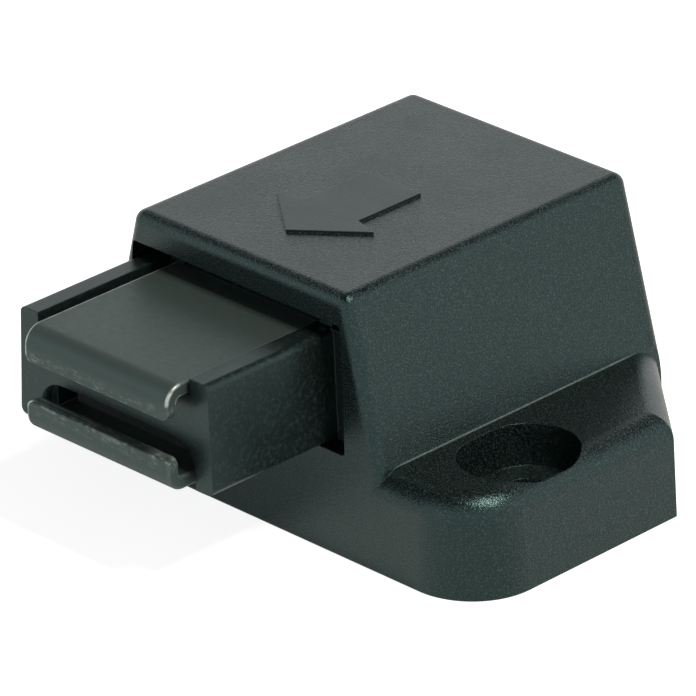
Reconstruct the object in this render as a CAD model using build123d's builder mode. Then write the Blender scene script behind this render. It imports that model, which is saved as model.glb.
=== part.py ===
from build123d import *

# Push to open catch with a magnetic plunger, screwed to the inside of a cabinet.
# Frame: the origin lies on the mounting plane, midway between the two screw slots.
# +X runs from slot to slot, +Y into the cabinet (the plunger points to -Y), +Z away from
# the mounting plane. Lengths are in millimetres and angles in degrees.
import os
from math import asin, radians, tan

# ---------------------------------------------------------------- driving dimensions
# Fixing
slot_spacing = 36.2
slot_setback = 9.0
screw_slot_width = 3.5
screw_slot_length = 5.2
head_recess_width = 7.1
head_recess_length = 9.4
head_recess_depth = 3.3

# Housing
body_height = 20.0
body_depth = 28.55
body_top_width = 20.9
side_lean = 14.5
rear_draft = 1.0
front_wall = 1.2
sill_wall = 2.4
rear_wall = 1.6
edge_radius = 0.9

# Mounting flange
flange_width = 44.3
flange_foot_width = 45.2
flange_height = 7.7
flange_side_length = 20.3
flange_corner_radius = 4.9
flange_cut_inset = 0.6
flange_edge_radius = 1.9
core_wall = 1.8
core_roof = 1.7

# Arrow that shows which end faces the door
arrow_setback = 4.75
arrow_length = 10.65
arrow_head_length = 3.85
arrow_head_width = 9.5
arrow_shaft_width = 5.3
arrow_barb_sweep = 0.6
arrow_height = 0.2

# Plunger
stroke = 9.0
block_width = 20.9
block_shoulder = 2.4
head_reach = 10.75
head_height = 8.35
head_underside = 8.1
head_edge_radius = 0.5
side_flare = 2.2
foot_width = 17.0
opening_side_gap = 1.85
opening_top_gap = 1.25
opening_bottom_gap = 0.2
opening_corner_radius = 0.3

# Magnet and pole plates
plate_width = 14.1
plate_thickness = 1.0
plate_inset = 0.25
plate_offset = 0.2
plate_seat_depth = 2.0
lip_reach = 1.95
lip_height = 2.5
lip_bend_radius = 1.4
lip_corner_radius = 0.6
magnet_width = 13.6
magnet_setback = 2.3
magnet_chamfer = 0.3
crossbar_height = 3.7
crossbar_thickness = 1.0
window_width = 15.4
window_corner_radius = 2.2

# Plunger spring
spring_diameter = 6.0
spring_wire = 0.42
spring_wire_sides = 6
spring_coils = 6
spring_seat_setback = 3.0
spigot_length = 4.0

# Heart cam track and its follower
track_width = 1.2
track_depth = 1.9
cam_swing = 2.0
cam_return_swing = 1.6
cam_return_lead = 0.4
cam_latch_lead = 2.7
cam_latch_side = 0.15
cam_start_inset = 1.4
follower_wire = 1.0
follower_wire_sides = 12
follower_bend_radius = 0.7
pivot_boss_width = 5.0
pivot_boss_depth = 2.6
pivot_leg_length = 3.0

# Base plate
base_thickness = 1.4
base_ledge = 1.1
ear_radius = 2.2
ear_offset = 1.0
ear_front_setback = 4.6
ear_rear_setback = 24.0
pin_diameter = 1.7
pin_length = 3.4
rail_width = 1.2
rail_height = 1.25
rail_inset = 0.4

# Follower spring
leaf_thickness = 0.15
leaf_width = 3.2
leaf_length = 7.0
leaf_pocket_depth = 0.7
leaf_pocket_margin = 0.3

# Clearances
guide_clearance = 0.1
stop_clearance = 0.05
end_clearance = 0.4
boss_clearance = 0.2
plate_side_gap = 0.45
magnet_side_gap = 0.2
spring_bore_clearance = 0.3
spigot_clearance = 0.3
wire_clearance = 0.05
fit_clearance = 0.05
base_clearance = 0.1

# ---------------------------------------------------------------- derived places
front = -slot_setback
back = front + body_depth
cavity_rear = back - rear_wall
lean_run = tan(radians(side_lean))
crease_half = body_top_width / 2 + (body_height - flange_height) * lean_run
flange_side_end = front + flange_side_length

head_top = head_underside + head_height
head_left = -block_width / 2
head_right = block_width / 2 - block_shoulder
head_centre = (head_left + head_right) / 2
head_flare = head_height * tan(radians(side_flare))
head_front = front - head_reach
block_front = front + front_wall + stop_clearance
block_rear = cavity_rear - stroke - end_clearance
boss_front = cavity_rear - pivot_boss_depth
foot_front = front + sill_wall + stop_clearance
foot_rear = boss_front - stroke - boss_clearance
foot_underside = base_thickness + rail_height + guide_clearance

cavity_half = block_width / 2 + guide_clearance
pit_half = cavity_half + head_flare
cavity_roof = head_top + opening_top_gap
opening_floor = head_underside - opening_bottom_gap
opening_right = head_right + opening_side_gap

upper_plate_top = head_top - plate_inset
upper_plate_under = upper_plate_top - plate_thickness
lower_plate_under = head_underside + plate_inset / 2
lower_plate_top = lower_plate_under + plate_thickness
lip_front = head_front - lip_reach
plate_rear = front + plate_seat_depth
magnet_front = head_front + magnet_setback
plate_centre = head_centre + plate_offset
channel_half = plate_width / 2 + plate_side_gap
crossbar_under = upper_plate_under - crossbar_height

spring_axis = head_underside + head_height / 2
spring_seat = front + spring_seat_setback
spring_bore = spring_diameter + 2 * spring_bore_clearance
spigot_diameter = spring_diameter - 2 * spring_wire - 2 * spigot_clearance

pivot_y = cavity_rear - pivot_boss_depth / 2
cam_start_y = foot_rear - cam_start_inset
cam_end_y = cam_start_y - stroke
follower_arm = pivot_y - cam_start_y
follower_level = foot_underside - follower_wire / 2 - guide_clearance
follower_tip = foot_underside + track_depth - 2 * guide_clearance

rail_y_front = foot_front + rail_inset
rail_y_rear = boss_front - rail_inset
rail_centre = foot_width / 2 - rail_width
ear_x = pit_half + base_ledge + ear_offset
ear_places = [
    (side * ear_x, front + setback)
    for side in (-1, 1)
    for setback in (ear_front_setback, ear_rear_setback)
]
core_front = head_recess_length / 2 + core_wall
core_inner = ear_x + ear_radius + core_wall
leaf_y = boss_front - leaf_length / 2 - leaf_pocket_margin - rail_inset
leaf_x = cam_swing * (pivot_y - leaf_y) / follower_arm / 2

os.makedirs("parts", exist_ok=True)

# ---------------------------------------------------------------- shared outlines
# Plans of the mounting flange, at its foot and at its top: straight sides, rounded front
# corners, and rear corners cut off straight to the leaning sides of the body.
flange_draft = (flange_foot_width - flange_width) / 2
flange_plans = []
for level, spread in ((0, flange_draft), (flange_height, 0)):
    half_width = flange_width / 2 + spread
    with BuildSketch(Plane.XY.offset(level)) as flange_plan:
        with BuildLine():
            Polyline(
                (-half_width, front),
                (half_width, front),
                (half_width, flange_side_end),
                (crease_half, back - flange_cut_inset),
                (-crease_half, back - flange_cut_inset),
                (-half_width, flange_side_end),
                close=True,
            )
        make_face()
        front_corners = flange_plan.vertices().group_by(Axis.Y)[0]
        fillet(front_corners, radius=flange_corner_radius + spread)
    flange_plans.append(flange_plan.sketch)

# Side view of the housing: the rear leans forward a little, so that it leaves its tool.
with BuildSketch(Plane.YZ) as side_view:
    with BuildLine():
        Polyline(
            (front, 0),
            (back, 0),
            (back - body_height * tan(radians(rear_draft)), body_height),
            (front, body_height),
            close=True,
        )
    make_face()

# Plan of the base plate, at the size of its seat in the housing: a rectangle with four ears.
with BuildSketch() as base_plan:
    with BuildLine():
        Polyline(
            (-pit_half - base_ledge, front + sill_wall - base_ledge),
            (pit_half + base_ledge, front + sill_wall - base_ledge),
            (pit_half + base_ledge, cavity_rear + base_ledge / 2),
            (-pit_half - base_ledge, cavity_rear + base_ledge / 2),
            close=True,
        )
    make_face()
    with Locations(*ear_places):
        Circle(ear_radius)

# Middle line of the heart cam track. The follower's tip goes in along the straight leg,
# drops back into the notch when the plunger is let go, and returns along the other leg.
cam_loop = [
    (0, cam_start_y),
    (cam_swing, cam_end_y),
    (cam_latch_side, cam_end_y + cam_latch_lead),
    (-cam_return_swing, cam_end_y + cam_return_lead),
]

# ---------------------------------------------------------------- housing
# The box that rises from the flange: its sides lean in above the flange and stand upright
# inside it.
with BuildPart() as body_block:
    with BuildSketch(Plane.XZ.offset(-front)):
        with BuildLine():
            Polyline(
                (-crease_half, 0),
                (crease_half, 0),
                (crease_half, flange_height),
                (body_top_width / 2, body_height),
                (-body_top_width / 2, body_height),
                (-crease_half, flange_height),
                close=True,
            )
        make_face()
    extrude(amount=-body_depth)
    extrude(side_view.sketch, amount=flange_width, both=True, mode=Mode.INTERSECT)
    corners = body_block.edges().filter_by(
        lambda e: e.bounding_box().size.Z > edge_radius and e.bounding_box().min.Z >= 0
    )
    top_rim = body_block.faces().sort_by(Axis.Z)[-1].edges()
    fillet(corners + top_rim, radius=edge_radius)

with BuildPart() as housing:
    add(flange_plans)
    loft(ruled=True)
    fillet(housing.faces().sort_by(Axis.Z)[-1].edges(), radius=flange_edge_radius)
    extrude(side_view.sketch, amount=flange_width, both=True, mode=Mode.INTERSECT)
    add(body_block.part)

    # Screw slots, each with a recess for the screw's head.
    with BuildSketch(Plane.XY.offset(flange_height - head_recess_depth)):
        with GridLocations(slot_spacing, 0, 2, 1):
            SlotOverall(head_recess_length, head_recess_width, rotation=90)
    extrude(amount=body_height, mode=Mode.SUBTRACT)
    with BuildSketch():
        with GridLocations(slot_spacing, 0, 2, 1):
            SlotOverall(screw_slot_length, screw_slot_width, rotation=90)
    extrude(amount=flange_height, mode=Mode.SUBTRACT)

    # Raised arrow on the top.
    with BuildSketch(Plane.XY.offset(body_height)):
        with BuildLine():
            arrow_tip = front + arrow_setback
            arrow_barb = arrow_tip + arrow_head_length
            arrow_neck = arrow_barb + arrow_barb_sweep
            arrow_tail = arrow_tip + arrow_length
            Polyline(
                (0, arrow_tip),
                (arrow_head_width / 2, arrow_barb),
                (arrow_shaft_width / 2, arrow_neck),
                (arrow_shaft_width / 2, arrow_tail),
                (-arrow_shaft_width / 2, arrow_tail),
                (-arrow_shaft_width / 2, arrow_neck),
                (-arrow_head_width / 2, arrow_barb),
                close=True,
            )
        make_face()
    extrude(amount=arrow_height)

    # Space for the plunger, above the sill, and for its foot and the follower below it.
    with BuildSketch(Plane.XZ.offset(-front - front_wall)):
        with BuildLine():
            Polyline(
                (-pit_half, opening_floor),
                (pit_half, opening_floor),
                (cavity_half, head_top),
                (cavity_half - opening_top_gap, cavity_roof),
                (opening_top_gap - cavity_half, cavity_roof),
                (-cavity_half, head_top),
                close=True,
            )
        make_face()
    extrude(amount=front + front_wall - cavity_rear, mode=Mode.SUBTRACT)
    with BuildSketch():
        with BuildLine():
            Polyline(
                (-pit_half, front + sill_wall),
                (pit_half, front + sill_wall),
                (pit_half, cavity_rear),
                (-pit_half, cavity_rear),
                close=True,
            )
        make_face()
    extrude(amount=opening_floor, mode=Mode.SUBTRACT)

    # Opening in the front wall.
    with BuildSketch(Plane.XZ.offset(-front)) as opening:
        with BuildLine():
            Polyline(
                (-pit_half, opening_floor),
                (opening_right + head_flare, opening_floor),
                (opening_right, cavity_roof),
                (-cavity_half, cavity_roof),
                close=True,
            )
        make_face()
        fillet(opening.vertices(), radius=opening_corner_radius)
    extrude(amount=-sill_wall, mode=Mode.SUBTRACT)

    # Two ribs under the roof keep the plunger down on its rails.
    with BuildSketch(Plane.XY.offset(head_top + guide_clearance)):
        with Locations((0, (block_front + cavity_rear) / 2)):
            with GridLocations(2 * rail_centre, 0, 2, 1):
                Rectangle(rail_width, cavity_rear - block_front)
    extrude(amount=opening_top_gap - guide_clearance)

    # Spigot that centres the spring, and the boss that holds the follower's pivot leg.
    with BuildSketch(Plane.XZ.offset(-cavity_rear)):
        with Locations((0, spring_axis)):
            Circle(spigot_diameter / 2)
    extrude(amount=spigot_length)
    with BuildSketch(Plane.XY.offset(foot_underside)):
        with Locations((0, pivot_y)):
            Rectangle(pivot_boss_width, pivot_boss_depth)
    extrude(amount=opening_floor - foot_underside)
    with BuildSketch(Plane.XY.offset(foot_underside)):
        with Locations((0, pivot_y)):
            Circle(follower_wire / 2 + wire_clearance)
    extrude(amount=pivot_leg_length, mode=Mode.SUBTRACT)

    # Seat of the base plate, with a blind hole for each of its pins.
    add(base_plan.sketch)
    extrude(amount=base_thickness, mode=Mode.SUBTRACT)
    with BuildSketch(Plane.XY.offset(base_thickness)):
        with Locations(*ear_places):
            Circle(pin_diameter / 2 + fit_clearance)
    extrude(amount=pin_length + base_clearance, mode=Mode.SUBTRACT)

    # The thick rear of each flange is cored out from below.
    with BuildSketch():
        add(flange_plans[0])
        offset(amount=-core_wall - flange_draft, mode=Mode.REPLACE)
        Rectangle(2 * core_inner, 2 * body_depth, mode=Mode.SUBTRACT)
        with Locations((0, core_front - body_depth)):
            Rectangle(flange_width, 2 * body_depth, mode=Mode.SUBTRACT)
    extrude(amount=flange_height - core_roof, mode=Mode.SUBTRACT)

housing.part.label = "housing"
export_step(housing.part, "parts/housing.step")

# ---------------------------------------------------------------- base plate
with BuildPart() as base_plate:
    with BuildSketch():
        add(base_plan.sketch)
        offset(amount=-base_clearance, mode=Mode.REPLACE)
    extrude(amount=base_thickness)
    with BuildSketch(Plane.XY.offset(base_thickness)):
        with Locations(*ear_places):
            Circle(pin_diameter / 2)
    extrude(amount=pin_length)

    # Rails under the plunger's foot, and the pocket that holds the follower's leaf spring.
    with BuildSketch(Plane.XY.offset(base_thickness)):
        with Locations((0, (rail_y_front + rail_y_rear) / 2)):
            with GridLocations(2 * rail_centre, 0, 2, 1):
                Rectangle(rail_width, rail_y_rear - rail_y_front)
    extrude(amount=rail_height)
    with BuildSketch(Plane.XY.offset(base_thickness)):
        with Locations((leaf_x, leaf_y)):
            Rectangle(leaf_width + 2 * leaf_pocket_margin, leaf_length + 2 * leaf_pocket_margin)
    extrude(amount=-leaf_pocket_depth, mode=Mode.SUBTRACT)

base_plate.part.label = "base_plate"
export_step(base_plate.part, "parts/base_plate.step")

# ---------------------------------------------------------------- plunger
with BuildPart() as plunger:
    # The narrow head shows outside; the block behind it is wider and stops on the front wall.
    # Both spread a little towards the underside, as the cavity does.
    for right, near, far in (
        (head_right, head_front, block_front),
        (block_width / 2, block_front, block_rear),
    ):
        with BuildSketch(Plane.XZ.offset(-near)):
            with BuildLine():
                Polyline(
                    (head_left - head_flare, head_underside),
                    (right + head_flare, head_underside),
                    (right, head_top),
                    (head_left, head_top),
                    close=True,
                )
            make_face()
        extrude(amount=near - far)
    long_rims = [
        edge
        for level in (0, -1)
        for edge in plunger.faces().sort_by(Axis.Z)[level].edges().filter_by(Axis.Y)
    ]
    fillet(long_rims, radius=head_edge_radius)
    with BuildSketch(Plane.XY.offset(foot_underside)):
        with Locations((0, (foot_front + foot_rear) / 2)):
            Rectangle(foot_width, foot_rear - foot_front)
    extrude(amount=head_underside - foot_underside)

    # Seats of the two pole plates, open at the front, and the magnet's pocket between them.
    with BuildSketch(Plane.XY.offset(upper_plate_under)):
        with Locations((head_centre, (lip_front + plate_rear) / 2)):
            Rectangle(2 * channel_half, plate_rear - lip_front)
    extrude(amount=head_height, mode=Mode.SUBTRACT)
    with BuildSketch(Plane.XY.offset(lower_plate_top)):
        with Locations((head_centre, (lip_front + plate_rear) / 2)):
            Rectangle(2 * channel_half, plate_rear - lip_front)
    extrude(amount=-head_height, mode=Mode.SUBTRACT)
    with BuildSketch(Plane.XY.offset(lower_plate_top)):
        with Locations((plate_centre, (head_front + crossbar_thickness + plate_rear) / 2)):
            Rectangle(
                magnet_width + 2 * magnet_side_gap, plate_rear - head_front - crossbar_thickness
            )
    extrude(amount=upper_plate_under - lower_plate_top, mode=Mode.SUBTRACT)

    # Window under the crossbar, through which the magnet faces its strike plate.
    with BuildSketch(Plane.XZ.offset(-head_front)) as window:
        with Locations((plate_centre, head_underside)):
            Rectangle(
                window_width, crossbar_under - head_underside, align=(Align.CENTER, Align.MIN)
            )
        fillet(window.vertices().group_by(Axis.Y)[-1], radius=window_corner_radius)
    extrude(amount=-crossbar_thickness, mode=Mode.SUBTRACT)

    # Bore for the spring, from the rear.
    with BuildSketch(Plane.XZ.offset(-block_rear)):
        with Locations((0, spring_axis)):
            Circle(spring_bore / 2)
    extrude(amount=block_rear - spring_seat, mode=Mode.SUBTRACT)

    # Heart cam track in the foot, with the island that the follower latches behind.
    with BuildSketch(Plane.XY.offset(foot_underside)):
        with BuildLine():
            Polyline(*cam_loop, close=True)
        make_face()
        offset(amount=track_width / 2)
    extrude(amount=track_depth, mode=Mode.SUBTRACT)
    with BuildSketch(Plane.XY.offset(foot_underside)):
        with BuildLine():
            Polyline(*cam_loop, close=True)
        make_face()
        offset(amount=-track_width / 2)
    extrude(amount=track_depth)

plunger.part.label = "plunger"
export_step(plunger.part, "parts/plunger.step")

# ---------------------------------------------------------------- pole plates and magnet
with BuildPart() as upper_pole_plate:
    # A strip bent down at the front, then trimmed so that the lip has round corners.
    with BuildSketch(Plane.YZ.offset(plate_centre)) as plate_profile:
        with BuildLine():
            Polyline(
                (plate_rear, upper_plate_top),
                (lip_front, upper_plate_top),
                (lip_front, upper_plate_top - lip_height),
                (lip_front + plate_thickness, upper_plate_top - lip_height),
                (lip_front + plate_thickness, upper_plate_under),
                (plate_rear, upper_plate_under),
                close=True,
            )
        make_face()
        outer_bend = plate_profile.vertices().group_by(Axis.Y)[-1].sort_by(Axis.X)[0]
        fillet(outer_bend, radius=lip_bend_radius)
        inner_bend = plate_profile.vertices().sort_by_distance(
            (lip_front + plate_thickness, upper_plate_under)
        )[0]
        fillet(inner_bend, radius=lip_bend_radius - plate_thickness)
    extrude(amount=plate_width / 2, both=True)
    with BuildSketch(Plane.XZ.offset(-plate_rear)) as lip_outline:
        with Locations((plate_centre, upper_plate_top)):
            Rectangle(plate_width, lip_height, align=(Align.CENTER, Align.MAX))
        fillet(lip_outline.vertices().group_by(Axis.Y)[0], radius=lip_corner_radius)
    extrude(amount=plate_rear - lip_front, mode=Mode.INTERSECT)

upper_pole_plate.part.label = "upper_pole_plate"
export_step(upper_pole_plate.part, "parts/upper_pole_plate.step")

with BuildPart() as lower_pole_plate:
    mirror(
        upper_pole_plate.part,
        about=Plane.XY.offset((upper_plate_top + lower_plate_under) / 2),
    )

lower_pole_plate.part.label = "lower_pole_plate"
export_step(lower_pole_plate.part, "parts/lower_pole_plate.step")

with BuildPart() as magnet:
    with BuildSketch(Plane.XY.offset(lower_plate_top)) as magnet_plan:
        with Locations((plate_centre, (magnet_front + plate_rear) / 2)):
            Rectangle(magnet_width, plate_rear - magnet_front)
        chamfer(magnet_plan.vertices(), length=magnet_chamfer)
    extrude(amount=upper_plate_under - lower_plate_top)

magnet.part.label = "magnet"
export_step(magnet.part, "parts/magnet.step")

# ---------------------------------------------------------------- plunger spring
with BuildPart() as plunger_spring:
    spring_length = cavity_rear - spring_seat - spring_wire
    with BuildLine() as spring_path:
        Helix(
            pitch=spring_length / spring_coils,
            height=spring_length,
            radius=(spring_diameter - spring_wire) / 2,
            center=(0, spring_seat + spring_wire / 2, spring_axis),
            direction=(0, 1, 0),
        )
    with BuildSketch(Plane(origin=spring_path.line @ 0, z_dir=spring_path.line % 0)):
        RegularPolygon(spring_wire / 2, spring_wire_sides)
    sweep(is_frenet=True)

plunger_spring.part.label = "plunger_spring"
export_step(plunger_spring.part, "parts/plunger_spring.step")

# ---------------------------------------------------------------- cam follower and its leaf
with BuildPart() as cam_follower:
    with BuildLine() as follower_path:
        FilletPolyline(
            (0, pivot_y, foot_underside + pivot_leg_length - guide_clearance),
            (0, pivot_y, follower_level),
            (0, cam_start_y, follower_level),
            (0, cam_start_y, follower_tip),
            radius=follower_bend_radius,
        )
    with BuildSketch(Plane(origin=follower_path.line @ 0, z_dir=follower_path.line % 0)):
        RegularPolygon(follower_wire / 2, follower_wire_sides)
    sweep()

cam_follower.part.label = "cam_follower"
export_step(cam_follower.part, "parts/cam_follower.step")

with BuildPart() as follower_spring:
    leaf_floor = base_thickness - leaf_pocket_depth
    leaf_crown = follower_level - follower_wire / 2 - fit_clearance
    leaf_start = leaf_y - leaf_length / 2
    leaf_end = leaf_y + leaf_length / 2
    with BuildSketch(Plane.YZ.offset(leaf_x)):
        with BuildLine():
            ThreePointArc(
                (leaf_start, leaf_floor),
                (leaf_y, leaf_crown - leaf_thickness),
                (leaf_end, leaf_floor),
            )
            Line((leaf_end, leaf_floor), (leaf_end, leaf_floor + leaf_thickness))
            ThreePointArc(
                (leaf_end, leaf_floor + leaf_thickness),
                (leaf_y, leaf_crown),
                (leaf_start, leaf_floor + leaf_thickness),
            )
            Line((leaf_start, leaf_floor + leaf_thickness), (leaf_start, leaf_floor))
        make_face()
    extrude(amount=leaf_width / 2, both=True)

follower_spring.part.label = "follower_spring"
export_step(follower_spring.part, "parts/follower_spring.step")

# ---------------------------------------------------------------- motion of the follower
swing = asin(cam_swing / follower_arm)
print(f"follower pivot at x 0, y {pivot_y:.3f}")
print(f"follower swing {swing:.6f} rad over {stroke} mm: {swing / stroke * 1000:.4f} rad/m")
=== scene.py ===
"""Looks of a push to open catch: moulded plastic housing, magnetic plunger and their finishes.

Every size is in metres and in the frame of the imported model: +X from screw slot to screw slot,
+Y into the cabinet, +Z away from the mounting plane.
"""

import logging
import math
from dataclasses import dataclass
from enum import Enum
from typing import Any

import bmesh
import bpy
import numpy as np
from mathutils import Matrix, Vector


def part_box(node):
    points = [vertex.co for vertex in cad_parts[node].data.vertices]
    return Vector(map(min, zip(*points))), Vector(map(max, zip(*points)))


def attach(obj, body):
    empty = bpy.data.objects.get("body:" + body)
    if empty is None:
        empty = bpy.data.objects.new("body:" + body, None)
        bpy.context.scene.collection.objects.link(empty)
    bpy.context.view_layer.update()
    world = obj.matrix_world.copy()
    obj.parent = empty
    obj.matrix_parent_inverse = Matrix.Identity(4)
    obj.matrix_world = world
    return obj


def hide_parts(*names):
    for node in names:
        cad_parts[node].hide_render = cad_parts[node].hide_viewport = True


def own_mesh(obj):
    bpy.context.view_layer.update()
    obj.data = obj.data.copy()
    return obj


LOG = logging.getLogger("catch")
MM = 0.001
QUARTER = np.pi / 2
# Most of a noise's values lie between these two.
NOISE_LOW, NOISE_HIGH = 0.3, 0.7

Colour = tuple[float, float, float, float]
Span = tuple[float, float]
Scale = tuple[float, float, float]

WHITE: Colour = (1.0, 1.0, 1.0, 1.0)
# The gloss of the plastics and of the coating leans slightly to green.
GLOSS_TINT = "#caffff"
# The housing's skin has little grain from this far below the arrow's top upwards.
SMOOTH_BAND = 0.15 * MM


class Cover(Enum):
    """What each finish covers."""

    HOUSING = "housing and base plate"
    # Painted highlight: the crease fillets' finish is a light grey that stands in for the bright
    # line light draws along each crease.
    CREASE = "crease lines"
    PLUNGER = "plunger"
    PLATES = "pole plates"
    WIRES = "plunger spring and cam follower"
    LEAF = "follower spring"
    MAGNET = "magnet"


class Pole(Enum):
    """Pole plates, each with the sign of the Z that its outer flat faces."""

    UPPER = 1
    LOWER = -1


class Side(Enum):
    """Sides of the body, each with the sign of its X."""

    LEFT = -1
    RIGHT = 1


class Ray(Enum):
    """Kinds of ray told apart by the Light Path node."""

    CAMERA = "Is Camera Ray"
    GLOSSY = "Is Glossy Ray"
    TRANSMISSION = "Is Transmission Ray"


def linear(code: str) -> Colour:
    """Turns an sRGB hex code into a linear colour.

    Each channel c in 0..1 becomes c / 12.92 below 0.04045 and ((c + 0.055) / 1.055) ** 2.4 above.

    Args:
        code: Six hex digits after a hash, such as "#2b2e2d".

    Returns:
        Linear red, green and blue, with alpha 1.
    """
    channels = np.array([int(code[i : i + 2], 16) for i in (1, 3, 5)]) / 255
    low = channels / 12.92
    high = ((channels + 0.055) / 1.055) ** 2.4
    red, green, blue = np.where(channels <= 0.04045, low, high).tolist()
    return red, green, blue, 1.0


def add(
    tree: bpy.types.NodeTree, kind: str, links: dict[Any, Any] | None = None, **settings: Any
) -> bpy.types.Node:
    """Adds one node with its settings, socket values and incoming links.

    Args:
        tree: Node tree to add to.
        kind: Blender's name for the node type.
        links: From input socket name or number to an output socket, or to a plain value.
        **settings: Attributes of the node itself.

    Returns:
        The new node.
    """
    node = tree.nodes.new(kind)
    for name, value in settings.items():
        setattr(node, name, value)
    for name, value in (links or {}).items():
        if isinstance(value, bpy.types.NodeSocket):
            tree.links.new(value, node.inputs[name])
        else:
            node.inputs[name].default_value = value
    return node


def new_material(name: str) -> tuple[bpy.types.Material, bpy.types.NodeTree]:
    """Makes an empty node material.

    Args:
        name: The material's name.

    Returns:
        The material and its node tree.
    """
    material = bpy.data.materials.new(name)
    material.use_nodes = True
    material.node_tree.nodes.clear()
    return material, material.node_tree


def by_ray(tree: bpy.types.NodeTree, strengths: dict[Ray, float]) -> bpy.types.NodeSocket:
    """Adds a strength that depends on the kind of ray, and is 0 for every other kind.

    Each kind's strength is multiplied by its Light Path output, and the largest product counts.

    Args:
        tree: Node tree to add to.
        strengths: The strength for each kind of ray.

    Returns:
        The output that carries the strength.
    """
    path = add(tree, "ShaderNodeLightPath").outputs
    total: bpy.types.NodeSocket | float = 0.0
    for ray, strength in strengths.items():
        part = add(
            tree, "ShaderNodeMath", {0: path[ray.value], 1: strength}, operation="MULTIPLY"
        ).outputs[0]
        total = add(tree, "ShaderNodeMath", {0: part, 1: total}, operation="MAXIMUM").outputs[0]
    return total


@dataclass(frozen=True)
class GrainedPlastic:
    """Injection moulded plastic whose tool was spark eroded.

    The eye sees a dark, slightly green grey skin, satin under a tight grain whose flanks catch
    the light as tiny glints. Faces above smooth_above have little grain. A spark's craters are a
    few hundredths of a millimetre wide, so the grain is drawn coarser than that to show at all.
    """

    name: str
    colour: str
    fleck: str
    tint: str
    grain: float
    depth: float
    roughness: float
    flecks: float
    edge: float
    smooth_above: float = 1.0
    ior: float = 1.54
    fine_detail: float = 1.5
    broad: float = 5 * MM
    broad_detail: float = 4.0
    noise_gain: float = 0.6
    fleck_range: Span = (0.5, 0.7)
    sheen_spread: float = 0.05
    unevenness: float = 0.1
    smooth_bump: float = 0.25
    edge_samples: int = 4

    def build(self) -> bpy.types.Material:
        """Builds the material.

        Returns:
            A skin whose grain is a fine noise, bumped and flecked, with a broad noise for
            uneven sheen and edges that are shaded as if just broken.
        """
        material, tree = new_material(self.name)
        place = add(tree, "ShaderNodeTexCoord").outputs["Object"]
        height = add(tree, "ShaderNodeSeparateXYZ", {0: place}).outputs["Z"]
        grained = add(
            tree, "ShaderNodeMath", {0: height, 1: self.smooth_above}, operation="LESS_THAN"
        ).outputs[0]
        fine = add(
            tree,
            "ShaderNodeTexNoise",
            {
                "Vector": place,
                "Scale": 1 / self.grain,
                "Detail": self.fine_detail,
                "Roughness": self.noise_gain,
            },
        ).outputs[0]
        broad = add(
            tree,
            "ShaderNodeTexNoise",
            {
                "Vector": place,
                "Scale": 1 / self.broad,
                "Detail": self.broad_detail,
                "Roughness": self.noise_gain,
            },
        ).outputs[0]
        fleck_low, fleck_high = self.fleck_range
        spots = add(
            tree,
            "ShaderNodeMapRange",
            {0: fine, 1: fleck_low, 2: fleck_high, 3: 0.0, 4: self.flecks},
        ).outputs[0]
        shown = add(
            tree, "ShaderNodeMath", {0: spots, 1: grained}, operation="MULTIPLY"
        ).outputs[0]
        colour = add(
            tree,
            "ShaderNodeMix",
            {0: shown, 6: linear(self.colour), 7: linear(self.fleck)},
            data_type="RGBA",
        ).outputs[2]
        sheen = add(
            tree,
            "ShaderNodeMapRange",
            {
                0: broad,
                1: NOISE_LOW,
                2: NOISE_HIGH,
                3: self.roughness - self.sheen_spread,
                4: self.roughness + self.sheen_spread,
            },
        ).outputs[0]
        rough = add(
            tree,
            "ShaderNodeMath",
            {0: fine, 1: self.unevenness, 2: sheen},
            operation="MULTIPLY_ADD",
        ).outputs[0]
        broken = add(
            tree, "ShaderNodeBevel", {"Radius": self.edge}, samples=self.edge_samples
        ).outputs[0]
        strength = add(
            tree,
            "ShaderNodeMapRange",
            {0: grained, 1: 0.0, 2: 1.0, 3: self.smooth_bump, 4: 1.0},
        ).outputs[0]
        bump = add(
            tree,
            "ShaderNodeBump",
            {"Height": fine, "Strength": strength, "Distance": self.depth, "Normal": broken},
        ).outputs[0]
        skin = add(
            tree,
            "ShaderNodeBsdfPrincipled",
            {
                "Base Color": colour,
                "Roughness": rough,
                "IOR": self.ior,
                "Specular Tint": linear(self.tint),
                "Normal": bump,
            },
        )
        add(tree, "ShaderNodeOutputMaterial", {"Surface": skin.outputs[0]})
        return material


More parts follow.
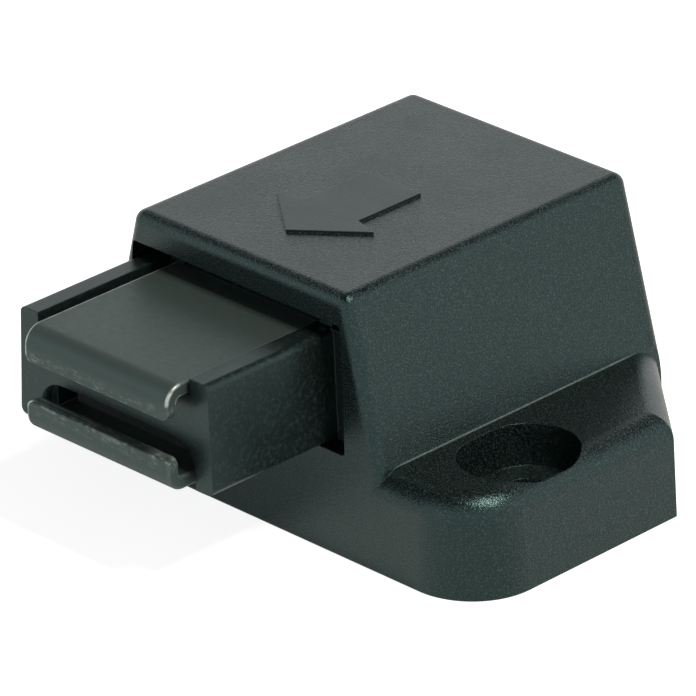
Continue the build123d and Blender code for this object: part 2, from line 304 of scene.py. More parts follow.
@dataclass(frozen=True)
class CoatedSteel:
    """Sheet steel, blanked, bent and then coated black.

    The eye sees a dark satin skin, slightly mottled and streaked along its bend, with the
    coating worn to bright steel on the sheared rims and in scuffs near the tip of the lip. The
    bright rims are partly real wear and partly a painted highlight, full on the -X rims and
    round the upper plate's bend. The coating isn't a metal, so it has an index of its own, and
    only the bare steel is metallic.
    """

    name: str
    colour: str
    # Bright steel for real scuffs and for the rims, where it also serves as a painted highlight.
    worn: str
    tint: str
    roughness: float
    streak: float
    ior: float = 1.58
    streak_stretch: Scale = (0.2, 1.0, 1.0)
    streak_detail: float = 3.0
    streak_gain: float = 0.65
    mottle: float = 0.6 * MM
    mottle_detail: float = 5.0
    mottle_gain: float = 0.7
    patch_range: Span = (0.42, 0.62)
    scratch_range: Span = (0.45, 0.6)
    tip_share: float = 0.5
    rim_range: Span = (0.35, 0.6)
    rim_least: float = 0.35
    uneven_range: Span = (0.7, 1.3)
    roughness_drop: float = 0.08
    roughness_rise: float = 0.1
    relief: float = 0.006 * MM
    relief_strength: float = 0.5

    def build(self) -> bpy.types.Material:
        """Builds the material.

        Returns:
            A coating over metal that reads two attributes of the mesh: rim, which is 1 along a
            sheared edge and marks worn steel with a painted highlight, and tip, which rises to 1
            at the end of the lip.
        """
        material, tree = new_material(self.name)
        place = add(tree, "ShaderNodeTexCoord").outputs["Object"]
        along = add(
            tree, "ShaderNodeMapping", {"Vector": place, "Scale": self.streak_stretch}
        ).outputs[0]
        streaks = add(
            tree,
            "ShaderNodeTexNoise",
            {
                "Vector": along,
                "Scale": 1 / self.streak,
                "Detail": self.streak_detail,
                "Roughness": self.streak_gain,
            },
        ).outputs[0]
        mottle = add(
            tree,
            "ShaderNodeTexNoise",
            {
                "Vector": place,
                "Scale": 1 / self.mottle,
                "Detail": self.mottle_detail,
                "Roughness": self.mottle_gain,
            },
        ).outputs[0]
        bare = self.bare_steel(tree, streaks, mottle)
        colour = add(
            tree,
            "ShaderNodeMix",
            {0: bare, 6: linear(self.colour), 7: linear(self.worn)},
            data_type="RGBA",
        ).outputs[2]
        uneven = add(tree, "ShaderNodeMath", {0: streaks, 1: mottle}, operation="ADD").outputs[0]
        uneven_low, uneven_high = self.uneven_range
        rough = add(
            tree,
            "ShaderNodeMapRange",
            {
                0: uneven,
                1: uneven_low,
                2: uneven_high,
                3: self.roughness - self.roughness_drop,
                4: self.roughness + self.roughness_rise,
            },
        ).outputs[0]
        bump = add(
            tree,
            "ShaderNodeBump",
            {"Height": uneven, "Strength": self.relief_strength, "Distance": self.relief},
        ).outputs[0]
        skin = add(
            tree,
            "ShaderNodeBsdfPrincipled",
            {
                "Base Color": colour,
                "Metallic": bare,
                "Roughness": rough,
                "IOR": self.ior,
                "Specular Tint": linear(self.tint),
                "Normal": bump,
            },
        )
        add(tree, "ShaderNodeOutputMaterial", {"Surface": skin.outputs[0]})
        return material

    def bare_steel(
        self,
        tree: bpy.types.NodeTree,
        streaks: bpy.types.NodeSocket,
        mottle: bpy.types.NodeSocket,
    ) -> bpy.types.NodeSocket:
        """Finds where the coating is worn through.

        Scuffs are streaks inside patches of the mottle, fainter away from the tip. Rims are
        rubbed by an amount that follows the mottle, and their mark also carries a painted
        highlight. The larger of the two counts.

        Args:
            tree: Node tree to add to.
            streaks: Noise drawn out along the bend.
            mottle: Noise of the coating.

        Returns:
            The output that is 0 on the coating and 1 on bare steel, whose rims also carry a
            painted highlight.
        """
        rim = add(tree, "ShaderNodeAttribute", attribute_name="rim").outputs["Fac"]
        tip = add(tree, "ShaderNodeAttribute", attribute_name="tip").outputs["Fac"]
        patch_low, patch_high = self.patch_range
        patches = add(
            tree,
            "ShaderNodeMapRange",
            {0: mottle, 1: patch_low, 2: patch_high, 3: 0.0, 4: 1.0},
        ).outputs[0]
        scratch_low, scratch_high = self.scratch_range
        scratches = add(
            tree,
            "ShaderNodeMapRange",
            {0: streaks, 1: scratch_low, 2: scratch_high, 3: 0.0, 4: 1.0},
        ).outputs[0]
        scuffs = add(
            tree, "ShaderNodeMath", {0: patches, 1: scratches}, operation="MULTIPLY"
        ).outputs[0]
        worn_tip = add(
            tree, "ShaderNodeMath", {0: tip, 1: self.tip_share}, operation="MULTIPLY"
        ).outputs[0]
        scuffed = add(
            tree, "ShaderNodeMath", {0: scuffs, 1: worn_tip}, operation="MULTIPLY"
        ).outputs[0]
        rim_low, rim_high = self.rim_range
        rubbed = add(
            tree,
            "ShaderNodeMapRange",
            {0: mottle, 1: rim_low, 2: rim_high, 3: self.rim_least, 4: 1.0},
        ).outputs[0]
        # Worn rims, with a painted highlight where the rim mark is full.
        rims = add(tree, "ShaderNodeMath", {0: rim, 1: rubbed}, operation="MULTIPLY").outputs[0]
        return add(tree, "ShaderNodeMath", {0: rims, 1: scuffed}, operation="MAXIMUM").outputs[0]


@dataclass(frozen=True)
class DrawnSteel:
    """Patented spring steel, drawn as wire or rolled as strip.

    The eye sees a mid grey metal with fine lines along it from the die or the rolls. The lines
    are drawn coarser than real ones, so that they show.
    """

    name: str
    colour: str
    roughness: float
    line: float
    stretch: Scale
    detail: float = 3.0
    gain: float = 0.6
    spread: float = 0.07
    relief: float = 0.004 * MM
    relief_strength: float = 0.5

    def build(self) -> bpy.types.Material:
        """Builds the material.

        Returns:
            A metal whose roughness and bump vary in lines that the stretch draws out.
        """
        material, tree = new_material(self.name)
        place = add(tree, "ShaderNodeTexCoord").outputs["Object"]
        drawn = add(tree, "ShaderNodeMapping", {"Vector": place, "Scale": self.stretch}).outputs[0]
        lines = add(
            tree,
            "ShaderNodeTexNoise",
            {
                "Vector": drawn,
                "Scale": 1 / self.line,
                "Detail": self.detail,
                "Roughness": self.gain,
            },
        ).outputs[0]
        rough = add(
            tree,
            "ShaderNodeMapRange",
            {
                0: lines,
                1: NOISE_LOW,
                2: NOISE_HIGH,
                3: self.roughness - self.spread,
                4: self.roughness + self.spread,
            },
        ).outputs[0]
        bump = add(
            tree,
            "ShaderNodeBump",
            {"Height": lines, "Strength": self.relief_strength, "Distance": self.relief},
        ).outputs[0]
        skin = add(
            tree,
            "ShaderNodeBsdfPrincipled",
            {
                "Base Color": linear(self.colour),
                "Metallic": 1.0,
                "Roughness": rough,
                "Normal": bump,
            },
        )
        add(tree, "ShaderNodeOutputMaterial", {"Surface": skin.outputs[0]})
        return material


@dataclass(frozen=True)
class GroundFerrite:
    """Sintered hard ferrite, ground flat.

    The eye sees a dull charcoal ceramic with pores and faint parallel grinding marks. Both are
    drawn coarser than real ones, so that they show.
    """

    name: str
    colour: str
    pore_colour: str
    pore: float
    mark: float
    ior: float = 1.9
    pore_range: Span = (0.1, 0.3)
    mark_stretch: Scale = (0.05, 1.0, 1.0)
    mark_detail: float = 2.0
    mark_gain: float = 0.5
    roughness_range: Span = (0.5, 0.7)
    relief: float = 0.005 * MM
    relief_strength: float = 0.6

    def build(self) -> bpy.types.Material:
        """Builds the material.

        Returns:
            A dark ceramic: a cellular noise darkens the pores, and a noise drawn out along X
            makes the grinding marks.
        """
        material, tree = new_material(self.name)
        place = add(tree, "ShaderNodeTexCoord").outputs["Object"]
        cells = add(
            tree, "ShaderNodeTexVoronoi", {"Vector": place, "Scale": 1 / self.pore}
        ).outputs["Distance"]
        pore_low, pore_high = self.pore_range
        pores = add(
            tree, "ShaderNodeMapRange", {0: cells, 1: pore_low, 2: pore_high, 3: 1.0, 4: 0.0}
        ).outputs[0]
        drawn = add(
            tree, "ShaderNodeMapping", {"Vector": place, "Scale": self.mark_stretch}
        ).outputs[0]
        marks = add(
            tree,
            "ShaderNodeTexNoise",
            {
                "Vector": drawn,
                "Scale": 1 / self.mark,
                "Detail": self.mark_detail,
                "Roughness": self.mark_gain,
            },
        ).outputs[0]
        colour = add(
            tree,
            "ShaderNodeMix",
            {0: pores, 6: linear(self.colour), 7: linear(self.pore_colour)},
            data_type="RGBA",
        ).outputs[2]
        smoothest, roughest = self.roughness_range
        rough = add(
            tree,
            "ShaderNodeMapRange",
            {0: marks, 1: NOISE_LOW, 2: NOISE_HIGH, 3: smoothest, 4: roughest},
        ).outputs[0]
        bump = add(
            tree,
            "ShaderNodeBump",
            {"Height": marks, "Strength": self.relief_strength, "Distance": self.relief},
        ).outputs[0]
        skin = add(
            tree,
            "ShaderNodeBsdfPrincipled",
            {"Base Color": colour, "Roughness": rough, "IOR": self.ior, "Normal": bump},
        )
        add(tree, "ShaderNodeOutputMaterial", {"Surface": skin.outputs[0]})
        return material


@dataclass(frozen=True)
class CameraFit:
    """Where the camera stands, as an orbit round a point on the body's front foot."""

    azimuth: float = 45.257
    elevation: float = 26.187
    roll: float = -0.939
    right: float = 7.103 * MM
    above: float = 11.352 * MM
    distance: float = 475.69 * MM
    foot: float = -8.64 * MM
    lens: float = 350.99
    sensor: float = 36.0
    clip: Span = (0.01, 10.0)

    def build(self) -> bpy.types.Object:
        """Adds the camera and makes it the scene's.

        The camera's axes are found from the orbit angles: back points from the object to the
        camera, right is level, and up is at right angles to both; then both roll about back.

        Returns:
            The camera object.
        """
        a, e, r = (math.radians(v) for v in (self.azimuth, self.elevation, self.roll))
        back = Vector((math.sin(a) * math.cos(e), -math.cos(a) * math.cos(e), math.sin(e)))
        level = Vector((math.cos(a), math.sin(a), 0.0))
        upright = back.cross(level)
        right = level * math.cos(r) + upright * math.sin(r)
        up = upright * math.cos(r) - level * math.sin(r)
        data = bpy.data.cameras.new("camera")
        data.lens = self.lens
        data.sensor_width = self.sensor
        data.clip_start, data.clip_end = self.clip
        camera = bpy.data.objects.new("camera", data)
        turn = Matrix((right, up, back)).transposed().to_4x4()
        place = right * self.right + up * self.above + back * self.distance
        place.y += self.foot
        camera.matrix_world = Matrix.Translation(place) @ turn
        bpy.context.collection.objects.link(camera)
        bpy.context.scene.camera = camera
        return camera


@dataclass(frozen=True)
class Lamp:
    """A square soft lamp that looks at the object."""

    name: str
    place: tuple[float, float, float]
    size: float
    power: float
    colour: str
    target: tuple[float, float, float] = (0.0, 0.0, 10 * MM)

    def build(self) -> bpy.types.Object:
        """Adds the lamp.

        Returns:
            The lamp object, turned so that it faces its target.
        """
        data = bpy.data.lights.new(self.name, "AREA")
        data.shape = "SQUARE"
        data.size = self.size
        data.energy = self.power
        data.color = linear(self.colour)[:3]
        lamp = bpy.data.objects.new(self.name, data)
        lamp.location = Vector(self.place)
        away = lamp.location - Vector(self.target)
        lamp.rotation_euler = away.to_track_quat("Z", "Y").to_euler()
        bpy.context.collection.objects.link(lamp)
        return lamp


@dataclass(frozen=True)
class Studio:
    """White wall and floor, a dimmer front, a dim ceiling and one soft lamp overhead."""

    floor_half: float = 3.0
    floor_gap: float = 0.05 * MM
    short_ray: float = 0.2 * MM
    paper: str = "#e6e6e6"
    paper_roughness: float = 0.5
    paper_glow: float = 0.84
    mirrored_glow: float = 0.3
    ceiling_height: float = 1.2
    ceiling_radius: float = 1.6
    ceiling_sides: int = 64
    ceiling_light: float = 0.06
    wall_foot: float = 0.27
    foot_share: float = 0.5
    front_share: float = 0.2
    front_span: Span = (-1.0, 0.6)
    right_share: float = 0.75
    right_span: Span = (-0.4, 0.8)
    lamps: tuple[Lamp, ...] = (Lamp("lamp_above", (0.31, 0.02, 0.52), 0.16, 2.6, "#fff8ea"),)

    def build_sky(self) -> None:
        """Makes the world from a direction's three parts.

        It is plain white to camera, glossy and transmission rays. The light it gives is a wall
        that brightens from the horizon to wall_foot and is white above. From the back, +Y, to
        the front it falls evenly to front_share, and from the left to the right to right_share.
        """
        world = bpy.data.worlds.new("sky")
        bpy.context.scene.world = world
        world.use_nodes = True
        tree = world.node_tree
        tree.nodes.clear()
        aim = add(tree, "ShaderNodeTexCoord").outputs["Generated"]
        parts = add(tree, "ShaderNodeSeparateXYZ", {0: aim}).outputs
        front, back = self.front_span
        depth_share = add(
            tree,
            "ShaderNodeMapRange",
            {0: parts["Y"], 1: front, 2: back, 3: self.front_share, 4: 1.0},
        ).outputs[0]
        left, right = self.right_span
        side_share = add(
            tree,
            "ShaderNodeMapRange",
            {0: parts["X"], 1: left, 2: right, 3: 1.0, 4: self.right_share},
        ).outputs[0]
        foot = add(
            tree,
            "ShaderNodeMapRange",
            {0: parts["Z"], 1: 0.0, 2: self.wall_foot, 3: self.foot_share, 4: 1.0},
        ).outputs[0]
        level = add(
            tree, "ShaderNodeMath", {0: depth_share, 1: side_share}, operation="MULTIPLY"
        ).outputs[0]
        room = add(tree, "ShaderNodeMath", {0: level, 1: foot}, operation="MULTIPLY").outputs[0]
        shown = by_ray(tree, {ray: 1.0 for ray in Ray})
        strength = add(
            tree, "ShaderNodeMath", {0: room, 1: shown}, operation="MAXIMUM"
        ).outputs[0]
        glow = add(tree, "ShaderNodeBackground", {"Color": WHITE, "Strength": strength})
        add(tree, "ShaderNodeOutputWorld", {"Surface": glow.outputs[0]})

    def build_floor(self) -> bpy.types.Object:
        """Adds the floor: a white sheet that keeps the object's shadow.

        It lies floor_gap below the object. It is clear from behind, so that the object's
        underside can be seen, and to rays that reach it within short_ray, so that the underside
        is lit from below.

        Returns:
            The floor object.
        """
        h = self.floor_half
        z = -self.floor_gap
        mesh = bpy.data.meshes.new("floor")
        mesh.from_pydata([(-h, -h, z), (h, -h, z), (h, h, z), (-h, h, z)], [], [(0, 1, 2, 3)])
        floor = bpy.data.objects.new("floor", mesh)
        bpy.context.collection.objects.link(floor)
        material, tree = new_material("white_paper")
        glow = by_ray(
            tree,
            {
                Ray.CAMERA: self.paper_glow,
                Ray.GLOSSY: self.mirrored_glow,
                Ray.TRANSMISSION: self.mirrored_glow,
            },
        )
        paper = add(
            tree,
            "ShaderNodeBsdfDiffuse",
            {"Color": linear(self.paper), "Roughness": self.paper_roughness},
        )
        light = add(tree, "ShaderNodeEmission", {"Color": WHITE, "Strength": glow})
        lit = add(tree, "ShaderNodeAddShader", {0: paper.outputs[0], 1: light.outputs[0]})
        behind = add(tree, "ShaderNodeNewGeometry").outputs["Backfacing"]
        length = add(tree, "ShaderNodeLightPath").outputs["Ray Length"]
        close = add(
            tree, "ShaderNodeMath", {0: length, 1: self.short_ray}, operation="LESS_THAN"
        ).outputs[0]
        open_to = add(
            tree, "ShaderNodeMath", {0: behind, 1: close}, operation="MAXIMUM"
        ).outputs[0]
        clear = add(tree, "ShaderNodeBsdfTransparent")
        sheet = add(
            tree, "ShaderNodeMixShader", {0: open_to, 1: lit.outputs[0], 2: clear.outputs[0]}
        )
        add(tree, "ShaderNodeOutputMaterial", {"Surface": sheet.outputs[0]})
        mesh.materials.append(material)
        return floor

    def build_ceiling(self) -> bpy.types.Object:
        """Adds the ceiling: a dim disc above the lamp that the camera doesn't see.

        Its rim is a regular polygon with a point for each of its sides. Rounded edges that
        face up mirror it, which gives them their dark bands.

        Returns:
            The ceiling object.
        """
        mesh = bpy.data.meshes.new("ceiling")
        turn = np.linspace(0, 2 * np.pi, self.ceiling_sides, endpoint=False)
        rim = self.ceiling_radius * np.stack([np.cos(turn), np.sin(turn)], axis=-1)
        mesh.from_pydata(
            [(x, y, self.ceiling_height) for x, y in rim.tolist()],
            [],
            [tuple(range(self.ceiling_sides))],
        )
        ceiling = bpy.data.objects.new("ceiling", mesh)
        ceiling.visible_camera = False
        bpy.context.collection.objects.link(ceiling)
        material, tree = new_material("dim_ceiling")
        light = add(tree, "ShaderNodeEmission", {"Color": WHITE, "Strength": self.ceiling_light})
        add(tree, "ShaderNodeOutputMaterial", {"Surface": light.outputs[0]})
        mesh.materials.append(material)
        return ceiling

    def build(self) -> None:
        """Builds sky, floor, ceiling, lamps and camera."""
        self.build_sky()
        self.build_floor()
        self.build_ceiling()
        for lamp in self.lamps:
            lamp.build()
        CameraFit().build()
        LOG.info("studio: %d lamps", len(self.lamps))


def dress(node: bpy.types.Object, material: bpy.types.Material) -> None:
    """Gives a carried-over solid its material.

    Args:
        node: The solid's object.
        material: The material it gets.
    """
    node.data.materials.clear()
    node.data.materials.append(material)
    LOG.info("%s: %s", node.name, material.name)


def tube(
    name: str,
    points: np.ndarray,
    material: bpy.types.Material,
    marks: dict[str, np.ndarray] | None = None,
) -> bpy.types.Object:
    """Makes a closed tube piece from rings of points.

    Neighbouring rings are joined by quads, each ring closes on itself, and the first and last
    rings are closed by one face each.

    Args:
        name: The piece's name.
        points: Array of rings by points by 3, in metres.
        material: The piece's material.
        marks: Named values from 0 to 1 for every point, kept as mesh attributes.

    Returns:
        The piece, smooth, with its faces turned outwards.
    """
    rings, sides, _ = points.shape
    index = np.arange(rings * sides).reshape(rings, sides)
    after = np.roll(index, -1, axis=1)
    quads = np.stack([index[:-1], after[:-1], after[1:], index[1:]], axis=-1).reshape(-1, 4)
    faces = quads.tolist() + [index[0, ::-1].tolist(), index[-1].tolist()]
    mesh = bpy.data.meshes.new(name)
    mesh.from_pydata(points.reshape(-1, 3).tolist(), [], faces)
    for label, values in (marks or {}).items():
        layer = mesh.attributes.new(label, "FLOAT", "POINT")
        layer.data.foreach_set("value", values.reshape(-1).astype(np.float32))
    shell = bmesh.new()
    shell.from_mesh(mesh)
    bmesh.ops.recalc_face_normals(shell, faces=shell.faces)
    shell.to_mesh(mesh)
    shell.free()
    mesh.shade_smooth()
    mesh.materials.append(material)
    piece = bpy.data.objects.new(name, mesh)
    bpy.context.collection.objects.link(piece)
    LOG.info("%s: %d faces", name, len(mesh.polygons))
    return piece


def box_of(node: str) -> tuple[np.ndarray, np.ndarray]:
    """Lowest and highest corner of a solid, as arrays."""
    low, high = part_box(node)
    return np.array(low), np.array(high)


@dataclass(frozen=True)
class StripPath:
    """The stations of a bent strip's middle line, one value of each array for each station.

    Depth counts from the strip's outer flat towards the magnet. Reach is the distance from the
    nearer end, and on the bend a length greater than any rounding of the ends. Lip is 1 on the
    part that is bent down and straight.
    """

    y: np.ndarray
    depth: np.ndarray
    normal_y: np.ndarray
    normal_z: np.ndarray
    reach: np.ndarray
    lip: np.ndarray


@dataclass(frozen=True)
class PolePlate:
    """One steel strip, bent over the magnet's front, with broken rims."""

    node: str
    pole: Pole
    thickness: float = 1.0 * MM
    bend: float = 1.4 * MM
    bend_steps: int = 14
    bend_margin: float = 0.1
    corner: float = 0.6 * MM
    corner_steps: int = 10
    rim: float = 0.14 * MM
    rim_steps: int = 6
    rim_fade: float = 0.1 * MM
    rear_run: float = 1.0 * MM
    top_steps: int = 12
    lip_steps: int = 4
    # The rim mark's share on the +X rims off the bend; the full mark on the -X rims and round the
    # bend is a painted highlight.
    unlit_rim_share: float = 0.12
    tip_wear: float = 1.5 * MM

    def path(self, low: np.ndarray, high: np.ndarray) -> StripPath:
        """Walks the strip's middle line, from its rear end to the tip of the lip.

        The line runs straight to the bend, turns a quarter circle of the bend radius less half
        the thickness, and runs on down to the tip.

        Args:
            low: The solid's lowest corner.
            high: The solid's highest corner.

        Returns:
            The line's stations, closer together at both ends.
        """
        half = self.thickness / 2
        lip = high[2] - low[2]
        bend_y = low[1] + self.bend
        near = self.rim * (1 - np.cos(np.linspace(0, QUARTER, self.rim_steps)))
        rounded = self.corner * (1 - np.cos(np.linspace(0, QUARTER, self.corner_steps)))
        ends = np.unique(np.concatenate([near, rounded]))
        run = np.linspace(high[1] - self.rear_run, bend_y, self.top_steps)[:-1]
        top = np.concatenate([high[1] - near, run])
        arc = np.linspace(0, QUARTER, self.bend_steps)
        upper_lip = np.linspace(self.bend, lip - self.corner, self.lip_steps)[1:-1]
        down = np.concatenate([upper_lip, np.sort(lip - ends)])
        middle = self.bend - half
        far = np.full(arc.shape, high[1] - low[1])
        return StripPath(
            y=np.concatenate(
                [top, bend_y - np.sin(arc) * middle, np.full(down.shape, low[1] + half)]
            ),
            depth=np.concatenate(
                [np.full(top.shape, half), self.bend - np.cos(arc) * middle, down]
            ),
            normal_y=np.concatenate([0 * top, -np.sin(arc), 0 * down - 1]),
            normal_z=np.concatenate([0 * top + 1, np.cos(arc), 0 * down]),
            reach=np.concatenate([high[1] - top, far, lip - down]),
            lip=np.concatenate([0 * top, 0 * arc, 0 * down + 1]),
        )

    def build(self, material: bpy.types.Material) -> bpy.types.Object:
        """Builds the plate.

        Each ring is a rectangle of the strip's width and thickness with its corners rounded by
        the rim radius, and a point rim_fade beyond each end of a rounding. Near an end of the
        strip it shrinks along a circle of the rim radius, and near the tip its width also
        shrinks along a circle of the corner radius. The rim mark, worn steel with a painted
        highlight, is 1 on the roundings, less on those of the +X side outside the upper plate's
        bend, and 0 at the points beyond them. The tip mark rises evenly over the last tip_wear of
        the lip.

        Args:
            material: The plate's material.

        Returns:
            The piece that stands for the plate.
        """
        low, high = box_of(self.node)
        path = self.path(low, high)
        rim_gap = np.clip(self.rim - path.reach, 0, None)
        shrink = self.rim - np.sqrt(self.rim**2 - rim_gap**2)
        corner_gap = np.clip(self.corner - path.reach, 0, None) * path.lip
        narrow = self.corner - np.sqrt(np.clip(self.corner**2 - corner_gap**2, 0, None))
        half_width = (high[0] - low[0]) / 2 - np.maximum(shrink, narrow) - self.rim
        half_thick = self.thickness / 2 - shrink - self.rim
        arc = np.linspace(0, QUARTER, self.rim_steps)
        turn = np.concatenate([arc[:1], arc, arc[-1:]])
        angle = (turn + np.arange(4)[:, None] * QUARTER).reshape(-1)
        push = np.tile(np.concatenate([[-self.rim_fade], 0 * arc, [self.rim_fade]]), 4)
        side = np.repeat([1, -1, -1, 1], len(turn))
        face = np.repeat([1, 1, -1, -1], len(turn))
        across = half_width[:, None] * side + self.rim * np.cos(angle) - push * np.sin(angle)
        out = half_thick[:, None] * face + self.rim * np.sin(angle) + push * np.cos(angle)
        upper = self.pole is Pole.UPPER
        outer = high[2] if upper else low[2]
        points = np.stack(
            [
                (low[0] + high[0]) / 2 + across,
                path.y[:, None] + path.normal_y[:, None] * out,
                outer - self.pole.value * (path.depth[:, None] - path.normal_z[:, None] * out),
            ],
            axis=-1,
        )
        margin = self.bend_margin
        on_bend = (path.normal_y < -margin) & (path.normal_z > margin) & upper
        # Painted highlight: the -X rims and the upper plate's bend keep the full bright mark,
        # while the +X rims keep only a little of it.
        dull = (side > 0) & ~on_bend[:, None]
        broken = (push == 0) * np.where(dull, self.unlit_rim_share, 1.0)
        wear = np.clip(1 - path.reach / self.tip_wear, 0, 1) * path.lip
        tip = np.broadcast_to(wear[:, None], across.shape)
        piece = tube(self.node + "_strip", points, material, {"rim": broken, "tip": tip})
        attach(piece, "plunger_body")
        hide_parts(self.node)
        return piece


@dataclass(frozen=True)
class CreaseLine:
    """Narrow fillet where a leaning side of the body meets the flange's top, coloured much lighter
    than the housing as a painted highlight.
    """

    side: Side
    half_width: float = 13.63 * MM
    height: float = 7.7 * MM
    lean: float = math.radians(14.5)
    front: float = -7.7 * MM
    rear: float = 16.8 * MM
    radius: float = 0.11 * MM
    least: float = 0.05
    taper: float = 1.5 * MM
    root: float = 0.1 * MM
    steps: int = 8
    stations: int = 60

    def build(self, material: bpy.types.Material) -> bpy.types.Object:
        """Builds the fillet.

        Across the line it is a circular arc that touches both faces, closed by a root of two
        points sunk behind the faces. The radius grows from almost nothing at each end along a
        sine.

        Args:
            material: The fillet's material.

        Returns:
            The piece.
        """
        y = np.linspace(self.front, self.rear, self.stations)
        gap = np.minimum(y - self.front, self.rear - y)
        growth = np.sin(np.clip(gap / self.taper, 0, 1) * QUARTER)
        radius = self.radius * (self.least + (1 - self.least) * growth)
        open_angle = QUARTER + self.lean
        reach = 1 / math.tan(open_angle / 2)
        arc = np.linspace(0, np.pi - open_angle, self.steps)
        across = np.concatenate([reach - np.sin(arc), [reach - np.sin(arc[-1]), reach]])
        up = np.concatenate([1 - np.cos(arc), [1 - np.cos(arc[-1]), 0.0]])
        sunk_across = np.concatenate([0 * arc, [-self.root, -self.root]])
        sunk_up = np.concatenate([0 * arc, [0.0, -self.root]])
        x = self.half_width + radius[:, None] * across + sunk_across
        z = self.height + radius[:, None] * up + sunk_up
        points = np.stack([self.side.value * x, y[:, None] + 0 * x, z], axis=-1)
        name = "crease_line_right" if self.side is Side.RIGHT else "crease_line_left"
        piece = tube(name, points, material)
        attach(piece, "housing_body")
        return piece


@dataclass(frozen=True)
class PlungerSpring:
    """Compression spring of round wire with a closed turn at each end."""

    node: str = "plunger_spring"
    wire: float = 0.42 * MM
    turns: float = 8.0
    closed_turns: float = 1.0
    steps_a_turn: int = 28
    sides: int = 12
    stroke: float = 9.0 * MM

    def build(self, material: bpy.types.Material) -> bpy.types.Object:
        """Builds the spring.

        Its middle line turns steadily round its axis, while its Y rises by one wire in each
        closed end turn and evenly over the turns between. Rings lie across the wire.

        Args:
            material: The wire's material.

        Returns:
            The piece that stands for the spring.
        """
        low, high = box_of(self.node)
        middle = (low + high) / 2
        half = self.wire / 2
        radius = (high[0] - low[0]) / 2 - half
        count = np.linspace(0, self.turns, int(self.turns * self.steps_a_turn) + 1)
        length = high[1] - low[1] - self.wire
        lead = self.wire * self.closed_turns
        rise = np.interp(
            count,
            [0, self.closed_turns, self.turns - self.closed_turns, self.turns],
            [0, lead, length - lead, length],
        )
        angle = 2 * np.pi * count
        radial = np.stack([np.cos(angle), 0 * angle, np.sin(angle)], axis=-1)
        centre = middle + radius * radial
        centre[:, 1] = low[1] + half + rise
        turn = np.linspace(0, 2 * np.pi, self.sides, endpoint=False)
        lift = np.array([0.0, 1.0, 0.0])
        points = (
            centre[:, None]
            + half * np.cos(turn)[None, :, None] * radial[:, None]
            + half * np.sin(turn)[None, :, None] * lift
        )
        piece = tube("plunger_spring_wire", points, material)
        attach(piece, "housing_body")
        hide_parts(self.node)
        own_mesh(piece)
        return piece


@dataclass(frozen=True)
class CamFollower:
    """Bent wire whose one leg turns in the housing and whose other leg runs in the cam track."""

    node: str = "cam_follower"
    wire: float = 1.0 * MM
    bend: float = 0.7 * MM
    bend_steps: int = 10
    tip_height: float = 4.45 * MM
    end_share: float = 0.5
    end_steps: int = 6
    sides: int = 20

    def line(
        self, low: np.ndarray, high: np.ndarray, fall: np.ndarray
    ) -> tuple[np.ndarray, np.ndarray]:
        """Walks the wire's middle line in the plane of the two legs.

        It goes down the pivot leg, round a quarter circle, along the arm, round another quarter
        circle and up to the tip.

        Args:
            low: The solid's lowest corner.
            high: The solid's highest corner.
            fall: Distances from an end of the wire at which its last rings lie.

        Returns:
            Y and Z of each station, and the Y and Z of the direction of travel there.
        """
        half = self.wire / 2
        level = low[2] + half
        pivot_y = high[1] - half
        tip_y = low[1] + half
        arc = np.linspace(0, QUARTER, self.bend_steps)
        round_one = self.bend * (1 - np.cos(arc))
        round_two = self.bend * (1 - np.sin(arc))
        places = [
            np.stack([0 * fall + pivot_y, high[2] - fall], axis=-1),
            np.stack([pivot_y - round_one, level + round_two], axis=-1),
            np.stack([tip_y + round_two, level + round_one], axis=-1),
            np.stack([0 * fall + tip_y, self.tip_height - fall[::-1]], axis=-1),
        ]
        headings = [
            np.tile([0.0, -1.0], (len(fall), 1)),
            np.stack([-np.sin(arc), -np.cos(arc)], axis=-1),
            np.stack([-np.cos(arc), np.sin(arc)], axis=-1),
            np.tile([0.0, 1.0], (len(fall), 1)),
        ]
        return np.concatenate(places), np.concatenate(headings)

    def build(self, material: bpy.types.Material) -> bpy.types.Object:
        """Builds the follower.

        Rings lie across the middle line. The last ones at each end shrink along a quarter
        circle to end_share of the wire's radius, as a tumbled end does.

        Args:
            material: The wire's material.

        Returns:
            The piece that stands for the follower.
        """
        low, high = box_of(self.node)
        half = self.wire / 2
        quarter = np.linspace(0, QUARTER, self.end_steps)
        fall = half * self.end_share * (1 - np.cos(quarter))
        growth = half * (self.end_share + (1 - self.end_share) * np.sin(quarter))
        line, heading = self.line(low, high, fall)
        size = np.full(len(line), half)
        size[: len(fall)] = growth
        size[-len(fall) :] = growth[::-1]
        turn = np.linspace(0, 2 * np.pi, self.sides, endpoint=False)
        wide = size[:, None] * np.cos(turn)
        deep = size[:, None] * np.sin(turn)
        points = np.stack(
            [
                wide,
                line[:, :1] - heading[:, 1:] * deep,
                line[:, 1:] + heading[:, :1] * deep,
            ],
            axis=-1,
        )
        piece = tube("cam_follower_wire", points, material)
        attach(piece, "follower_body")
        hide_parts(self.node)
        return piece


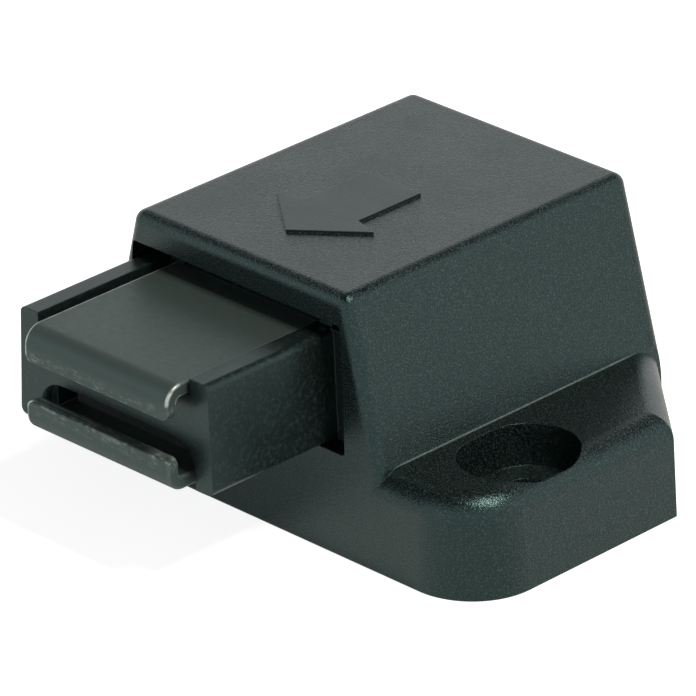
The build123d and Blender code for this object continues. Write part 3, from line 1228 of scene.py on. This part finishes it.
def finishes(smooth_above: float) -> dict[Cover, bpy.types.Material]:
    """Builds every finish of the part.

    Args:
        smooth_above: Height over which the housing's skin has little grain.

    Returns:
        The materials by what they cover.
    """
    return {
        Cover.HOUSING: GrainedPlastic(
            "spark_eroded_abs",
            colour="#091111",
            fleck="#5a6968",
            tint=GLOSS_TINT,
            grain=0.12 * MM,
            depth=0.035 * MM,
            roughness=0.22,
            flecks=0.4,
            edge=0.12 * MM,
            smooth_above=smooth_above,
        ).build(),
        # Painted highlight: a much lighter grey and lighter flecks than the housing, standing in
        # for the light caught along each crease.
        Cover.CREASE: GrainedPlastic(
            "painted_crease_highlight",
            colour="#515d5a",
            fleck="#8d9996",
            tint=GLOSS_TINT,
            grain=0.13 * MM,
            depth=0.01 * MM,
            roughness=0.3,
            flecks=0.5,
            edge=0.02 * MM,
        ).build(),
        Cover.PLUNGER: GrainedPlastic(
            "smooth_moulded_acetal",
            colour="#121a1a",
            fleck="#44524f",
            tint=GLOSS_TINT,
            grain=0.3 * MM,
            depth=0.006 * MM,
            roughness=0.28,
            flecks=0.25,
            edge=0.12 * MM,
        ).build(),
        # worn is bright steel for scuffs and rims; on the -X rims and round the bend it is also a
        # painted highlight.
        Cover.PLATES: CoatedSteel(
            "black_coated_steel",
            colour="#3a4442",
            worn="#c3cdca",
            tint=GLOSS_TINT,
            roughness=0.45,
            streak=0.18 * MM,
        ).build(),
        Cover.WIRES: DrawnSteel(
            "drawn_spring_wire",
            colour="#a9acac",
            roughness=0.28,
            line=0.1 * MM,
            stretch=(1.0, 0.1, 1.0),
        ).build(),
        Cover.LEAF: DrawnSteel(
            "rolled_spring_strip",
            colour="#b4b7b6",
            roughness=0.24,
            line=0.12 * MM,
            stretch=(1.0, 0.05, 0.05),
        ).build(),
        Cover.MAGNET: GroundFerrite(
            "sintered_ferrite",
            colour="#343838",
            pore_colour="#1c1e1e",
            pore=0.35 * MM,
            mark=0.1 * MM,
        ).build(),
    }


def main(frame: dict[str, Any]) -> None:
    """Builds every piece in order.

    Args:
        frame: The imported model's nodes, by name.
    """
    arrow_top = float(box_of("housing")[1][2])
    finish = finishes(arrow_top - SMOOTH_BAND)
    covers = {
        "housing": Cover.HOUSING,
        "base_plate": Cover.HOUSING,
        "plunger": Cover.PLUNGER,
        "magnet": Cover.MAGNET,
        "follower_spring": Cover.LEAF,
        "upper_pole_plate": Cover.PLATES,
        "lower_pole_plate": Cover.PLATES,
        "plunger_spring": Cover.WIRES,
        "cam_follower": Cover.WIRES,
    }
    for name, cover in covers.items():
        dress(frame["nodes"][name], finish[cover])
    PolePlate("upper_pole_plate", Pole.UPPER).build(finish[Cover.PLATES])
    PolePlate("lower_pole_plate", Pole.LOWER).build(finish[Cover.PLATES])
    for side in Side:
        CreaseLine(side).build(finish[Cover.CREASE])
    PlungerSpring().build(finish[Cover.WIRES])
    CamFollower().build(finish[Cover.WIRES])
    Studio().build()
    bpy.context.scene.view_settings.view_transform = "Standard"


logging.basicConfig(level=logging.INFO, format="%(name)s: %(message)s")
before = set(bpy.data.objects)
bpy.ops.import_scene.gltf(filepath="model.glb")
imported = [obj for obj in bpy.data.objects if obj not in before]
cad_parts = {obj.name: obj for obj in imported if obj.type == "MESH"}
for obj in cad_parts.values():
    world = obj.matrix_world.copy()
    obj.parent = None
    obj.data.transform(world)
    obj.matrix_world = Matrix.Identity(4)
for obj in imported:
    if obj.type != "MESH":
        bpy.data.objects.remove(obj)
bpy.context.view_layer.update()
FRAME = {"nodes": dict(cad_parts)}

if __name__ == "__main__":
    main(FRAME)
